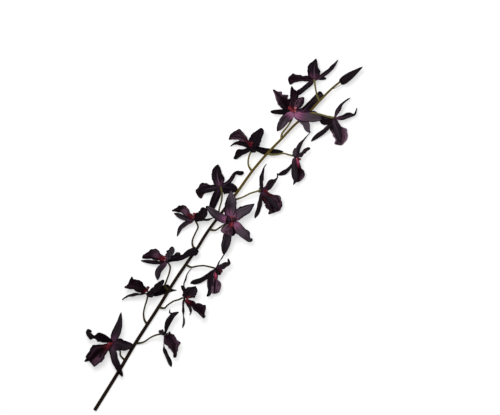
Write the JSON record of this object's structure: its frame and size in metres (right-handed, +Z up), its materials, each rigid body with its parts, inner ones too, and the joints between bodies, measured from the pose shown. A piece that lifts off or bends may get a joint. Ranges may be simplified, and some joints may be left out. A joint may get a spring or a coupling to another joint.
{
  "type": "oncidium orchid stem",
  "caption": "Cut orchid spray lying down: a long thin olive stem with near-black aubergine blooms, ruffled plum lips and crimson columns on curved stalks, and a closed bud at the tip.",
  "frame": {"origin": "middle of the bounding box seen from above, on the surface the stem lies on", "axes": "+X along the stem from its cut end to its bud, +Y to the side of the blooms with odd numbers, +Z up"},
  "size_m": [0.9066, 0.2015, 0.0603],
  "materials": {
    "stem": "olive green-brown stalk, darker towards the cut end, faintly waxy",
    "bud": "near-black closed bud, soft sheen",
    "tepals": "near-black aubergine petals with a soft velvety sheen, paler midribs and magenta roots",
    "lips": "plum ruffled lip, wine red in the throat",
    "columns": "waxy crimson to pink column"
  },
  "bodies": {
    "root": {"flower_stem": "stem", "bud": "bud", "bloom_01_tepals": "tepals", "bloom_01_lip": "lips", "bloom_01_column": "columns", "bloom_02_tepals": "tepals", "bloom_02_lip": "lips", "bloom_02_column": "columns", "bloom_03_tepals": "tepals", "bloom_03_lip": "lips", "bloom_03_column": "columns", "bloom_04_tepals": "tepals", "bloom_04_lip": "lips", "bloom_04_column": "columns", "bloom_05_tepals": "tepals", "bloom_05_lip": "lips", "bloom_05_column": "columns", "bloom_06_tepals": "tepals", "bloom_06_lip": "lips", "bloom_06_column": "columns", "bloom_07_tepals": "tepals", "bloom_07_lip": "lips", "bloom_07_column": "columns", "bloom_08_tepals": "tepals", "bloom_08_lip": "lips", "bloom_08_column": "columns", "bloom_09_tepals": "tepals", "bloom_09_lip": "lips", "bloom_09_column": "columns", "bloom_10_tepals": "tepals", "bloom_10_lip": "lips", "bloom_10_column": "columns", "bloom_11_tepals": "tepals", "bloom_11_lip": "lips", "bloom_11_column": "columns", "bloom_12_tepals": "tepals", "bloom_12_lip": "lips", "bloom_12_column": "columns", "bloom_13_tepals": "tepals", "bloom_13_lip": "lips", "bloom_13_column": "columns", "bloom_14_tepals": "tepals", "bloom_14_lip": "lips", "bloom_14_column": "columns", "bloom_15_tepals": "tepals", "bloom_15_lip": "lips", "bloom_15_column": "columns"}
  },
  "joints": []
}
